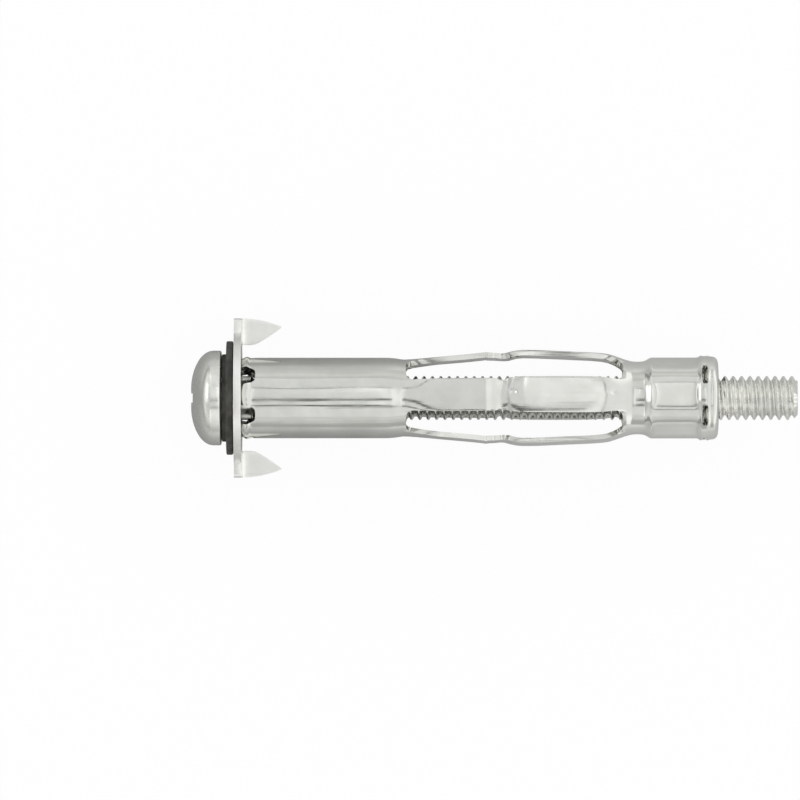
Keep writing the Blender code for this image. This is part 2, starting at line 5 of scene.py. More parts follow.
import bmesh
import bpy
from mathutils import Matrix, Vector


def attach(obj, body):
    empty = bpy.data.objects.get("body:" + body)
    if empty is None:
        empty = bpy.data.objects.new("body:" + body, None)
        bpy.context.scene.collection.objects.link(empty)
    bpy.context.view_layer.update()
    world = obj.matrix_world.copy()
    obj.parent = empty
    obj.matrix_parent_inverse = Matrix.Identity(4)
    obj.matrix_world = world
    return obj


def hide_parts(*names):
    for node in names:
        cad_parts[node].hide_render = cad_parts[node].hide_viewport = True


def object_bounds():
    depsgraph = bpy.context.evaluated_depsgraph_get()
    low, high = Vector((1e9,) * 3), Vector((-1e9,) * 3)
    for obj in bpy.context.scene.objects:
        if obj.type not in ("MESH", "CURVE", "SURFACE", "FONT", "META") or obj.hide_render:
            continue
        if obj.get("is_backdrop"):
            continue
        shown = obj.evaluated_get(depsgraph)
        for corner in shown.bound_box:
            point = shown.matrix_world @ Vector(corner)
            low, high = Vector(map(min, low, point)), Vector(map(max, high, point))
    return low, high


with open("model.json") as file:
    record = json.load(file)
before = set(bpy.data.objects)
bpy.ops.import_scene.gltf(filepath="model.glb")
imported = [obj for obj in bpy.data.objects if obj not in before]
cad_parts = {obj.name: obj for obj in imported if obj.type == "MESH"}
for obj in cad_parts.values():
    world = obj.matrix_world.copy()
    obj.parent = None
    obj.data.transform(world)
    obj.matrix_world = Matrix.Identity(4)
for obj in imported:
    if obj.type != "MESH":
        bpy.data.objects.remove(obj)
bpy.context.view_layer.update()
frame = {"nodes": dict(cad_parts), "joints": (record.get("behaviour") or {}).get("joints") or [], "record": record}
print("solids:", sorted(frame["nodes"]))

# %% [markdown]
# ## A bench for small things
# The anchor is 58 mm long and its sheet is half a millimetre thick. Blender's tools have
# limits, such as the distance at which points merge, that suit bigger things. So every piece
# is modelled at one unit for each millimetre, round the X axis, with x = 0 on the face of the
# collar that meets the wall. A finished piece is then shrunk and moved to its place at once.

# %% Where the bench stands in the frame
MM = 0.001
wall_face_x = frame["record"]["mounts"][0]["pos_m"][0]
axis_height = frame["joints"][1]["pos_m"][2]
print("wall face at x", wall_face_x, "and axis at z", axis_height)


def set_down(piece, smooth_angle):
    """Shrink a finished piece from the bench's millimetres, put it in the frame and smooth it."""
    only(piece)
    piece.scale = (MM, MM, MM)
    piece.location = (wall_face_x, 0.0, axis_height)
    bpy.ops.object.transform_apply(location=True, rotation=True, scale=True)
    bpy.ops.object.shade_smooth_by_angle(angle=math.radians(smooth_angle))
    print(piece.name, "has", len(piece.data.polygons), "faces")


# %% Selecting in code
def only(*pieces):
    """Leave edit mode and select only these pieces, the last one active."""
    if bpy.context.mode != "OBJECT":
        bpy.ops.object.mode_set(mode="OBJECT")
    bpy.ops.object.select_all(action="DESELECT")
    for piece in pieces:
        piece.select_set(True)
        bpy.context.view_layer.objects.active = piece


def edit(piece):
    """Open a piece in edit mode."""
    only(piece)
    bpy.ops.object.mode_set(mode="EDIT")


def turn_of(point):
    """Degrees round the axis, from straight up towards the lower side of the picture."""
    return math.degrees(math.atan2(-point.y, point.z))


def on_row(point, row_x):
    """Whether a point lies on the row at this place along the axis."""
    return abs(point.x - row_x) < 0.01


def on_column(point, column):
    """Whether a point lies this many degrees from straight up, to either side."""
    return abs(abs(turn_of(point)) - column) < 0.5


def choose(kind, fits):
    """In edit mode, select the vertices, edges or faces whose middle passes a test."""
    bpy.ops.mesh.select_mode(type=kind)
    bpy.ops.mesh.select_all(action="DESELECT")
    data = bpy.context.object.data
    mesh = bmesh.from_edit_mesh(data)
    items = {"VERT": mesh.verts, "EDGE": mesh.edges, "FACE": mesh.faces}[kind]
    for item in items:
        corners = [item.co] if kind == "VERT" else [vert.co for vert in item.verts]
        if fits(sum(corners, Vector()) / len(corners)):
            item.select_set(True)
    bmesh.update_edit_mesh(data)


def finish_with(piece, kind, **settings):
    """Add a modifier, set it and apply it."""
    only(piece)
    modifier = piece.modifiers.new(kind.title(), kind)
    for name, value in settings.items():
        setattr(modifier, name, value)
    bpy.ops.object.modifier_apply(modifier=modifier.name)


# %% Spinning a profile
def drawn(name, profile):
    """Shrink a new plane to a point and extrude it through (x, radius) points.

    The piece stays in edit mode.
    """
    only()
    bpy.ops.mesh.primitive_plane_add(size=1.0)
    piece = bpy.context.object
    piece.name = name
    bpy.ops.object.mode_set(mode="EDIT")
    bpy.ops.mesh.select_mode(type="VERT")
    bpy.ops.mesh.select_all(action="SELECT")
    bpy.ops.mesh.merge(type="CENTER")
    x, radius = profile[0]
    bpy.ops.transform.translate(value=(x, 0.0, radius))
    for next_x, next_radius in profile[1:]:
        step = (next_x - x, 0.0, next_radius - radius)
        bpy.ops.mesh.extrude_vertices_move(TRANSFORM_OT_translate={"value": step})
        x, radius = next_x, next_radius
    bpy.ops.mesh.select_all(action="SELECT")
    return piece


def spun(name, profile, turn=360.0, steps=72, start=0.0):
    """Spin a drawn profile about the axis and close the joint."""
    piece = drawn(name, profile)
    bpy.ops.mesh.spin(steps=steps, angle=math.radians(turn), center=(0, 0, 0), axis=(-1, 0, 0))
    bpy.ops.mesh.select_all(action="SELECT")
    bpy.ops.mesh.remove_doubles(threshold=0.0005)
    bpy.ops.mesh.normals_make_consistent(inside=False)
    only(piece)
    piece.rotation_euler.x = math.radians(start)
    bpy.ops.object.transform_apply(location=False, rotation=True, scale=False)
    return piece


def repeated(piece, count):
    """Copy a sector round the axis and join the copies into one ring."""
    copies = [piece]
    for index in range(1, count):
        only(piece)
        bpy.ops.object.duplicate()
        copy = bpy.context.object
        copy.rotation_euler.x = index * math.tau / count
        bpy.ops.object.transform_apply(location=False, rotation=True, scale=False)
        copies.append(copy)
    only(*copies[1:], piece)
    bpy.ops.object.join()
    merge_and_face_out(piece)
    return piece


def merge_and_face_out(piece):
    """Merge the doubles of a joined piece and turn its faces outwards."""
    edit(piece)
    bpy.ops.mesh.select_all(action="SELECT")
    bpy.ops.mesh.remove_doubles(threshold=0.002)
    bpy.ops.mesh.normals_make_consistent(inside=False)
    only(piece)


# %% [markdown]
# ## The sleeve
# The real sleeve is one strip of half-millimetre steel: punched flat, rolled into a tube,
# pressed, and crimped round the nut. Here the sheet's outer face is modelled first, and it gets
# its thickness at the end, as sheet would. Three sectors that repeat are shaped once each and
# copied round the axis: a sixth with one riveted tab, a quarter with one leg, and a sixth with
# one flat of the crimp. Their columns are 3 degrees apart, so their edges meet point for point.

# %% Sectors, and openings with round ends
column_step = 3
sixth_side, quarter_side = 30, 45
bluntness = 2.6


def sector(name, profile, side):
    """Spin a profile through the same angle to both sides of straight up."""
    return spun(name, profile, turn=2 * side, steps=2 * side // column_step, start=-side)


def punch_out(low_x, high_x, edge):
    """Delete the sheet between two rows, from a column to the side of the sector."""
    choose("FACE", lambda p: low_x < p.x < high_x and abs(turn_of(p)) > edge)
    bpy.ops.mesh.delete(type="FACE")


def round_end(row_x, edge, side, reach):
    """Push the end of an opening out, column by column, to a round blunter than an ellipse."""
    for column in range(edge + column_step, side + 1, column_step):
        share = (side - column) / (side - edge)
        choose("VERT", lambda p: on_column(p, column) and on_row(p, row_x))
        move = reach * (1 - share ** bluntness) ** (1 / bluntness)
        bpy.ops.transform.translate(value=(move, 0.0, 0.0))


# %% [markdown]
# ### Riveted tabs
# At the wall the tube ends in six tabs, with a window between each two. They pass through the
# collar's bore, their ends are hammered outwards over its edge, and on the wall side they swell
# a little, so the plate is held between the two. The windows come first and then the bends, as
# in the real sheet: a Boolean cut through a bent tab would leave an untidy edge.

# %% One tab and its stretch of tube
tube_radius = 3.825
tab_edge = 18
window_root, window_round = 0.97, 0.38
# place along the tab, radius, width against the tab's angle
tab_rows = [
    (-0.53, 4.19, 0.82), (-0.42, 4.09, 0.82), (-0.25, 3.95, 0.82), (-0.10, 3.83, 0.82),
    (0.0, 3.825, 0.82), (0.14, 3.86, 0.83), (0.33, 3.97, 0.85), (0.52, 4.02, 0.88),
    (0.70, 3.96, 0.92), (0.84, 3.87, 0.96),
]
tab_profile = [(row_x, radius) for row_x, radius, width in tab_rows]
tab_profile += [(x, tube_radius) for x in (window_root, 1.50, 1.75, 2.2, 3.0, 5.0, 8.0)]
tab = sector("sleeve_tab", tab_profile, sixth_side)
edit(tab)
punch_out(tab_rows[0][0], window_root, tab_edge)
round_end(window_root, tab_edge, sixth_side, window_round)
for row_x, radius, width in tab_rows:
    choose("VERT", lambda p: on_row(p, row_x))
    bpy.ops.transform.resize(value=(1.0, width, 1.0), center_override=(row_x, 0.0, tube_radius))
sleeve_front = repeated(tab, 6)
print("front of the sleeve:", len(sleeve_front.data.polygons), "faces")

# %% [markdown]
# ### Legs
# Four slots part the middle of the tube into four legs. In the wall they fold outwards at a
# pressed line, and until then each is bowed a little, flatter than the tube and narrower at
# that line. A lattice would bow a leg as well, but it would round the pressed line off. So each
# row of the sheet is lifted, flattened and widened by its own amounts.

# %% One leg between two half slots
neck_radius = 3.63
slot_start, slot_end, slot_round = 15.60, 36.20, 0.62
leg_edge = 24
# place along the leg, radius over its middle, how flat it is pressed, width against the neck
leg_rows = [
    (slot_start + slot_round, 3.69, 0.10, 1.00), (16.9, 3.74, 0.35, 1.02), (17.6, 3.79, 0.55, 1.03),
    (18.6, 3.87, 0.74, 1.06), (20.0, 3.97, 0.80, 1.06), (21.6, 4.11, 0.80, 1.06),
    (22.9, 4.25, 0.80, 1.06), (23.25, 4.30, 0.85, 1.06), (23.4, 4.24, 0.85, 1.06),
    (24.15, 4.22, 0.85, 1.05), (24.35, 4.21, 0.80, 0.99), (24.6, 4.20, 0.75, 0.93),
    (24.85, 4.22, 0.60, 0.93), (25.1, 4.27, 0.50, 0.99), (25.3, 4.33, 0.35, 1.06),
    (25.55, 4.40, 0.40, 1.10), (26.05, 4.50, 0.50, 1.13), (26.6, 4.56, 0.55, 1.14),
    (28.2, 4.53, 0.55, 1.16), (28.6, 4.51, 0.55, 1.16), (30.0, 4.45, 0.55, 1.17),
    (31.8, 4.37, 0.55, 1.17), (33.2, 4.32, 0.50, 1.16), (34.3, 4.26, 0.35, 1.13),
    (34.95, 4.16, 0.20, 1.08), (slot_end - slot_round, 3.95, 0.05, 1.02),
]
leg_profile = [(x, tube_radius) for x in (8.0, 11.0, 13.0, 13.8)]
leg_profile += [(14.15, 3.812), (14.5, 3.782), (14.85, 3.73), (15.15, 3.68), (15.4, 3.645)]
leg_profile += [(row[0], neck_radius) for row in leg_rows]
leg_profile += [
    (36.40, 3.66), (36.65, 3.585), (36.95, 3.505), (37.25, 3.46), (37.6, 3.445), (37.94, 3.46),
]
leg = sector("sleeve_leg", leg_profile, quarter_side)
edit(leg)
first_row, last_row = leg_rows[0][0], leg_rows[-1][0]
punch_out(first_row, last_row, leg_edge)
round_end(first_row, leg_edge, quarter_side, -slot_round)
round_end(last_row, leg_edge, quarter_side, slot_round)
print("leg:", len(leg_rows), "rows from", first_row, "to", last_row)

# %% Bow the leg, press it and dimple it
for row_x, radius, flat, width in leg_rows:
    choose("VERT", lambda p: on_row(p, row_x) and abs(turn_of(p)) < leg_edge + 0.5)
    bpy.ops.transform.translate(value=(0.0, 0.0, radius - neck_radius))
    bpy.ops.transform.resize(value=(1.0, width, 1.0 - flat), center_override=(row_x, 0.0, radius))
groove_start, groove_end, groove_depth = 28.4, 34.5, 0.035
choose("VERT", lambda p: groove_start < p.x < groove_end and abs(turn_of(p)) < 1)
bpy.ops.transform.translate(value=(0.0, 0.0, -groove_depth))
dimples = ((25.55, 26.1), (34.9, 35.7))
dimple_rim, dimple_depth = 0.08, 0.14
for low_x, high_x in dimples:
    choose("FACE", lambda p: low_x < p.x < high_x and -6 < turn_of(p) < 0)
    bpy.ops.mesh.inset(thickness=dimple_rim)
    bpy.ops.transform.translate(value=(0.0, 0.0, -dimple_depth))
sleeve_legs = repeated(leg, 4)
print("legs:", len(sleeve_legs.data.polygons), "faces")

# %% [markdown]
# ### The crimp round the nut
# Behind the legs the tube is pressed round the six-sided nut. The press leaves six flats and
# six round corners, with no edge between them. For that, the radius of a corner has to be the
# radius over the corners less the width of a flat, and each millimetre of half that width sinks
# the flat by 2 - sqrt(3) millimetres. So a round tube is spun, its columns up to 12 degrees from
# the middle of a flat are pressed to one plane, and the others are pushed in to an arc that
# touches the flats. After the crimp come a bead with small windows and a rim that is turned in.

# %% Sizes of the six flats
crimp_radius = 3.85
flat_edge, hole_edge = 12, 15
edge_slope = math.tan(math.radians(flat_edge))
sink = 2 - math.sqrt(3)
flat_half = crimp_radius * edge_slope / (1 + sink * edge_slope)
flat_height = crimp_radius - sink * flat_half
corner_radius = crimp_radius - 2 * flat_half
corner_middle = Vector((flat_half, flat_height - corner_radius))
print("crimp: flats at", round(flat_height, 3), "and corners of radius", round(corner_radius, 3))


def corner_reach(column):
    """How far from the axis the arc of the corner is, in the direction of a column."""
    way = Vector((math.sin(math.radians(column)), math.cos(math.radians(column))))
    along = way.dot(corner_middle)
    return along + math.sqrt(along ** 2 - corner_middle.length_squared + corner_radius ** 2)


# %% One flat of the crimp, with its window and rim
crimp_start, crimp_middle, crimp_end = 39.0, 41.2, 43.2
crimp_rows = (38.92, 39.04, 39.8, crimp_middle, 42.6, 43.14, 43.26)
hole_start, hole_end, hole_round = 43.78, 44.14, 0.13
rear_profile = [(37.94, 3.46), (38.2, 3.49), (38.45, 3.60), (38.65, 3.73), (38.82, 3.82)]
rear_profile += [(x, crimp_radius) for x in crimp_rows]
rear_profile += [
    (43.34, 3.88), (43.46, 3.945), (43.57, 4.02), (hole_start, 4.05), (43.95, 4.06),
    (hole_end, 4.05), (44.36, 3.98), (44.52, 3.95), (44.75, 3.94), (44.95, 3.88), (45.1, 3.75),
    (45.2, 3.58), (45.25, 3.35), (45.25, 3.0), (45.25, 2.645),
]
crimp = sector("sleeve_crimp", rear_profile, sixth_side)
edit(crimp)
punch_out(hole_start, hole_end, hole_edge)
round_end(hole_start, hole_edge, sixth_side, -hole_round)
round_end(hole_end, hole_edge, sixth_side, hole_round)
choose("VERT", lambda p: crimp_start < p.x < crimp_end and abs(turn_of(p)) < flat_edge + 0.5)
bpy.ops.transform.resize(value=(1.0, 1.0, 0.0), center_override=(crimp_middle, 0.0, flat_height))
for column in range(flat_edge + column_step, sixth_side + 1, column_step):
    choose("VERT", lambda p: crimp_start < p.x < crimp_end and on_column(p, column))
    share = corner_reach(column) / crimp_radius
    bpy.ops.transform.resize(value=(1.0, share, share), center_override=(crimp_middle, 0.0, 0.0))
sleeve_rear = repeated(crimp, 6)
print("rear of the sleeve:", len(sleeve_rear.data.polygons), "faces")

# %% [markdown]
# ### From a surface to a sheet
# Rolled sheet isn't closed: its two edges meet in a seam along the tube. Bevelling that line of
# edges and deleting the new faces leaves a narrow gap. Solidify then gives the sheet its
# thickness towards the axis, and one level of Subdivision Surface smooths the pressed forms,
# with creases that keep the punched edges crisp.

# %% Join the sheet, part it at the seam and give it its thickness
seam_turn, seam_gap = 150, 0.06
sheet_thickness, sheet_crease = 0.5, 0.7
# the sleeve lies on the paper turned by this much
lying_turn = -5.0
only(sleeve_front, sleeve_legs, sleeve_rear)
bpy.ops.object.join()
sleeve = bpy.context.object
sleeve.name = "sleeve_sheet"
merge_and_face_out(sleeve)
edit(sleeve)
choose("EDGE", lambda p: abs(turn_of(p) - seam_turn) < 0.5)
bpy.ops.mesh.bevel(offset=seam_gap, segments=1, affect="EDGES", offset_type="WIDTH")
bpy.ops.mesh.delete(type="FACE")
only(sleeve)
finish_with(sleeve, "SOLIDIFY", thickness=sheet_thickness, offset=-1.0, use_even_offset=True,
            edge_crease_inner=sheet_crease, edge_crease_outer=sheet_crease,
            edge_crease_rim=sheet_crease)
finish_with(sleeve, "SUBSURF", levels=1, render_levels=1)
sleeve.rotation_euler.x = math.radians(lying_turn)
set_down(sleeve, smooth_angle=40)
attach(sleeve, "sleeve_body")
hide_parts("sleeve")


# %% [markdown]
# ## The screw
# A machine screw starts as wire: its head is upset in a die, the recess is punched, and the
# thread is rolled. A squashed sphere wouldn't do for the head, because a pan head has an
# outline of its own: a small flat crown, a quarter of an ellipse down to a short straight rim,
# and a soft corner where the head meets the shank. So that outline is drawn and spun.

# %% The head as a spun profile
head_top, head_seat = -4.80, -1.90
crown_flat, dome_depth, dome_height, dome_steps = 0.75, 2.15, 3.75, 18
head_radius, shank_radius = crown_flat + dome_height, 2.085
head_profile = [(head_top, 0.0), (head_top, crown_flat / 2)]
for step in range(dome_steps + 1):
    a = math.pi / 2 * step / dome_steps
    x = head_top + dome_depth * (1 - math.cos(a))
    head_profile.append((x, crown_flat + dome_height * math.sin(a)))
head_profile += [(-2.35, head_radius), (-2.07, head_radius), (-1.97, 4.47), (-1.92, 4.42)]
head_profile += [(head_seat, 4.34), (head_seat, 2.45), (-1.87, 2.28), (-1.78, 2.15)]
head_profile += [(-1.62, shank_radius), (-1.2, shank_radius), (0.9, shank_radius)]
head_profile += [(1.5, 1.60), (2.2, 1.50), (2.2, 0.0)]
head = spun("screw_head", head_profile, steps=96)
print("head:", len(head.data.polygons), "faces")

# %% [markdown]
# ### The recess
# The recess takes a flat blade or a cross point: a slot across the whole head, and four wings
# round a deeper heart. The factory sinks it with punches, and so does this cell. Each punch is
# a cube that narrows towards its bottom, and a Boolean modifier takes it out of the head.


# %% Punches for the recess
def punch(name, length, width, depth, taper_y=1.0, taper_z=1.0, turn=0.0):
    """A cube drawn out into a punch. A taper is the bottom's share of the width at the top."""
    only()
    bpy.ops.mesh.primitive_cube_add(size=1.0, location=(head_top, 0.0, 0.0))
    tool = bpy.context.object
    tool.name = name
    tool.scale = (2 * depth, length, width)
    bpy.ops.object.transform_apply(location=True, rotation=False, scale=True)
    edit(tool)
    for side in (1, -1):
        choose("FACE", lambda p: side * (p.x - head_top) > 0.9 * depth)
        shares = (1 - side * (1 - taper_y), 1 - side * (1 - taper_z))
        bpy.ops.transform.resize(value=(1.0, *shares))
    only(tool)
    tool.rotation_euler.x = math.radians(turn)
    bpy.ops.object.transform_apply(location=False, rotation=True, scale=False)
    return tool


def carve(piece, tool, operation="DIFFERENCE"):
    """Cut a piece with a tool, or join the tool to it, and put the tool away."""
    finish_with(piece, "BOOLEAN", object=tool, operation=operation, solver="EXACT")
    bpy.data.objects.remove(tool)


# %% Sink the slot and the cross
slot_width, slot_depth = 0.95, 0.80
wing_span, wing_width, wing_depth = 5.0, 0.85, 2.05
heart_side, heart_depth = 2.9, 1.85
taper = 0.42
carve(head, punch("slot_punch", 4 * head_radius, slot_width, slot_depth))
carve(head, punch("wing_punch", wing_span, wing_width, wing_depth, taper))
carve(head, punch("cross_wing_punch", wing_span, wing_width, wing_depth, taper, turn=90))
carve(head, punch("heart_punch", heart_side, heart_side, heart_depth, taper, taper, turn=45))
print("punched head:", len(head.data.polygons), "faces")

# %% [markdown]
# ### The thread
# A rolled thread has flat crests, flat roots and straight flanks. It could be a pattern in the
# material, but the free end of the screw shows its outline, and a pattern has none. So one
# pitch is drawn and swept by the Screw modifier, because a thread is exactly that: a profile
# that moves on as it turns. It is cut off level at both ends, and what it shares with a spun
# shape is kept, which gives the tip its chamfer.

# %% Sweep, cut and chamfer the thread
pitch, turns = 0.79375, 71
thread_start, tip_x = 1.0, 52.80
chamfer_x, tip_radius = 51.835, 1.635
clear_radius = 2.6
crest, root = shank_radius, 1.655
thread_outline = [
    (0.0, root), (0.06, root), (0.30, crest - 0.03), (0.33, crest),
    (0.46, crest), (0.49, crest - 0.03), (0.73, root), (pitch, root),
]
thread = drawn("screw_thread", [(x + head_seat, radius) for x, radius in thread_outline])
finish_with(thread, "SCREW", axis="X", angle=math.tau, screw_offset=pitch, iterations=turns,
            steps=40, render_steps=40, use_merge_vertices=True, merge_threshold=0.0005)
merge_and_face_out(thread)
edit(thread)
for cut_x, side in ((thread_start, 1), (tip_x, -1)):
    bpy.ops.mesh.select_all(action="SELECT")
    bpy.ops.mesh.bisect(plane_co=(cut_x, 0, 0), plane_no=(side, 0, 0), use_fill=True,
                        clear_inner=True, threshold=0.0001)
only(thread)
end_profile = [
    (-1.5, 0.0), (-1.5, clear_radius), (chamfer_x, clear_radius), (tip_x, tip_radius),
    (tip_x + 1, 1.2), (tip_x + 1, 0.0),
]
carve(thread, spun("end_shape", end_profile), "INTERSECT")
print("thread:", len(thread.data.polygons), "faces")

# %% Join head and thread and soften the edges
carve(head, thread, "UNION")
screw = head
screw.name = "drive_screw"
finish_with(screw, "BEVEL", width=0.035, segments=2, limit_method="ANGLE",
            angle_limit=math.radians(50))
set_down(screw, smooth_angle=35)
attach(screw, "screw_body")
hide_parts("screw")

# %% [markdown]
# ## The collar and its prongs
# The collar is stamped: a round plate with two ears, and in each ear's lower edge a prong that
# was cut out of the plate and folded forward to bite into the wall. The plate is flat with
# straight cuts, so it is a disc with an ear joined to it and a notch and the bore cut out. A
# prong is one row of sheet drawn out along its fold, row by row, and given its thickness at the
# end. Both sides are alike, so one is modelled and then mirrored.

# %% Plate with an ear, a notch and the bore
plate_thickness = 0.70
collar_radius, collar_bore, flare_radius = 6.40, 3.975, 4.69
fold_z, ear_top, ear_reach, ear_corner = -0.55, 1.55, 7.55, 0.35
prong_inner = 5.045


def block(name, low, high):
    """A box between two corners, with its place in its mesh."""
    only()
    middle = [(a + b) / 2 for a, b in zip(low, high)]
    bpy.ops.mesh.primitive_cube_add(size=1.0, location=middle)
    piece = bpy.context.object
    piece.name = name
    piece.scale = [b - a for a, b in zip(low, high)]
    bpy.ops.object.transform_apply(location=True, rotation=False, scale=True)
    return piece


plate_profile = [
    (-plate_thickness, 2.0), (-plate_thickness, collar_radius), (0.0, collar_radius),
    (0.0, 2.0), (-plate_thickness, 2.0),
]
plate = spun("collar_sheet", plate_profile, steps=120)
ear = block("ear", (-plate_thickness, 4.6, fold_z), (0.0, ear_reach, ear_top))
edit(ear)
choose("EDGE", lambda p: abs(p.y - ear_reach) < 0.01 and abs(p.z - ear_top) < 0.01)
bpy.ops.mesh.bevel(offset=ear_corner, segments=5, affect="EDGES")
only(ear)
carve(plate, ear, "UNION")
carve(plate, block("notch", (-2.0, prong_inner, -5.5), (1.0, 9.0, fold_z)))
bore_profile = [
    (0.5, 0.0), (0.5, collar_bore), (-0.045, collar_bore), (-0.9, flare_radius), (-0.9, 0.0),
]
carve(plate, spun("bore", bore_profile, steps=96))
print("plate:", len(plate.data.polygons), "faces")

# %% Rows of a prong: down the plate, round the fold and out to the tip
fold_radius = 0.40
prong_length, prong_shank = 3.75, 1.10
tip_y, tip_half = ear_reach - 0.80, 0.06
fold_path = [(0.0, 0.35), (0.0, fold_z)]
for step in range(1, 6):
    a = math.pi / 2 * step / 5
    fold_path.append((fold_radius * (1 - math.cos(a)), fold_z - fold_radius * math.sin(a)))
for step in range(1, 9):
    x = fold_radius + (prong_length - fold_radius) * step / 8
    fold_path.append((x, fold_z - fold_radius))
prong_rows = []
for x, z in fold_path:
    slant = max(0.0, (x - prong_shank) / (prong_length - prong_shank)) ** 1.2
    inner = prong_inner + (tip_y - tip_half - prong_inner) * slant
    outer = ear_reach + (tip_y + tip_half - ear_reach) * (x / prong_length) ** 2
    prong_rows.append((x, z, inner, outer))
print("prong:", len(prong_rows), "rows")

# %% A prong drawn out row by row
only()
bpy.ops.mesh.primitive_plane_add(size=1.0, location=(0, 0, 0))
prong = bpy.context.object
prong.name = "prong"
edit(prong)
choose("VERT", lambda p: p.x > 0)
bpy.ops.mesh.delete(type="VERT")
bpy.ops.mesh.select_all(action="SELECT")
bpy.ops.mesh.subdivide(number_cuts=5)
bpy.ops.mesh.select_mode(type="EDGE")
bpy.ops.mesh.select_all(action="SELECT")
x, z, inner, outer = prong_rows[0]
bpy.ops.transform.translate(value=(0.5 + x, (inner + outer) / 2, z))
bpy.ops.transform.resize(value=(1.0, outer - inner, 1.0))
for next_x, next_z, next_inner, next_outer in prong_rows[1:]:
    move = (next_x - x, (next_inner + next_outer - inner - outer) / 2, next_z - z)
    bpy.ops.mesh.extrude_region_move(TRANSFORM_OT_translate={"value": move})
    bpy.ops.transform.resize(value=(1.0, (next_outer - next_inner) / (outer - inner), 1.0))
    x, z, inner, outer = next_x, next_z, next_inner, next_outer
bpy.ops.mesh.select_all(action="SELECT")
bpy.ops.mesh.normals_make_consistent(inside=False)
only(prong)
if sum(face.normal.x + face.normal.z for face in prong.data.polygons) < 0:
    prong.data.flip_normals()
finish_with(prong, "SOLIDIFY", thickness=plate_thickness, offset=-1.0, use_even_offset=True)
merge_and_face_out(prong)
carve(plate, prong, "UNION")
print("plate with a prong:", len(plate.data.polygons), "faces")

# %% Mirror the finished side
collar = plate
finish_with(collar, "MIRROR", use_axis=(False, True, False), use_bisect_axis=(False, True, False),
            merge_threshold=0.001)
merge_and_face_out(collar)
finish_with(collar, "BEVEL", width=0.06, segments=3, limit_method="ANGLE",
            angle_limit=math.radians(40))
set_down(collar, smooth_angle=40)
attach(collar, "sleeve_body")
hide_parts("collar_plate")

# %% [markdown]
# ## The washer
# A ring of dark fibre pressed to shape: a hub under the screw head and a flange that lies against
# the collar and clears the riveted tabs. All of it is round, so it is one profile with soft
# edges, spun about the axis.

# %% A ring with a hub and soft edges
washer_front, washer_back = -1.85, -1.00
hub_radius, washer_radius, washer_bore = 4.15, 5.40, 2.385
flange_front, flange_back = -1.42, -0.78
washer_profile = [
    (washer_front, washer_bore + 0.05), (washer_front, hub_radius - 0.08),
    (washer_front + 0.03, hub_radius - 0.02), (washer_front + 0.08, hub_radius),
    (flange_front - 0.05, hub_radius + 0.01), (flange_front, hub_radius + 0.06),
    (flange_front, washer_radius - 0.10), (flange_front + 0.03, washer_radius - 0.03),
    (flange_front + 0.10, washer_radius), (flange_back - 0.12, washer_radius),
    (flange_back - 0.04, washer_radius - 0.04), (flange_back, washer_radius - 0.12),
    (flange_back, 4.75), (washer_back, 4.55), (washer_back, washer_bore + 0.05),
    (washer_back - 0.05, washer_bore), (washer_front + 0.05, washer_bore),
    (washer_front, washer_bore + 0.05),
]
washer = spun("fibre_washer", washer_profile, steps=120)
set_down(washer, smooth_angle=50)
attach(washer, "washer_body")
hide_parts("washer")


# %% [markdown]
# ## Bright zinc plating
# The steel pieces were barrel-plated: a thin bright layer that copies the metal under it. It
# isn't one even mirror. The layer is a little cloudy in tone and gloss, sheet keeps the lines
# of the rolling mill and a slight waviness, and struck pieces a fine grain. Each of these is a
# node group, because all the metal pieces use them, each with its own values. All of them read
# Object coordinates, in metres here, so a pattern 1 mm wide has a scale of about 1000.


# %% A group with named sockets
def new_group(name, inputs, outputs):
    """Start a node group. Each input is (name, kind, value), and each output (name, kind)."""
    group = bpy.data.node_groups.new(name, "ShaderNodeTree")
    for label, kind, value in inputs:
        socket = group.interface.new_socket(label, in_out="INPUT", socket_type=kind)
        socket.default_value = value
    for label, kind in outputs:
        group.interface.new_socket(label, in_out="OUTPUT", socket_type=kind)
    return group, group.nodes.new("NodeGroupInput"), group.nodes.new("NodeGroupOutput")


def scaled_place(group, source, labels):
    """Object coordinates, each axis times one of the group's inputs."""
    place = group.nodes.new("ShaderNodeTexCoord")
    factors = group.nodes.new("ShaderNodeCombineXYZ")
    for axis, label in enumerate(labels):
        group.links.new(source.outputs[label], factors.inputs[axis])
    product = group.nodes.new("ShaderNodeVectorMath")
    product.operation = "MULTIPLY"
    group.links.new(place.outputs["Object"], product.inputs[0])
    group.links.new(factors.outputs[0], product.inputs[1])
    return product.outputs[0]


# %% Cloudy tone and gloss
FLOAT, COLOR = "NodeSocketFloat", "NodeSocketColor"
clouds, source, result = new_group(
    "plating_clouds",
    [("Pale", COLOR, (0.76, 0.76, 0.74, 1.0)), ("Deep", COLOR, (0.66, 0.67, 0.64, 1.0)),
     ("Scale", FLOAT, 500.0), ("Glossy", FLOAT, 0.15), ("Dull", FLOAT, 0.28)],
    [("Color", COLOR), ("Roughness", FLOAT)],
)
place = scaled_place(clouds, source, ("Scale", "Scale", "Scale"))
cloud = clouds.nodes.new("ShaderNodeTexNoise")
cloud.inputs["Scale"].default_value = 1.0
cloud.inputs["Detail"].default_value = 4.0
clouds.links.new(place, cloud.inputs["Vector"])
tone = clouds.nodes.new("ShaderNodeMapRange")
tone.inputs["From Min"].default_value = 0.35
tone.inputs["From Max"].default_value = 0.65
clouds.links.new(cloud.outputs["Fac"], tone.inputs["Value"])
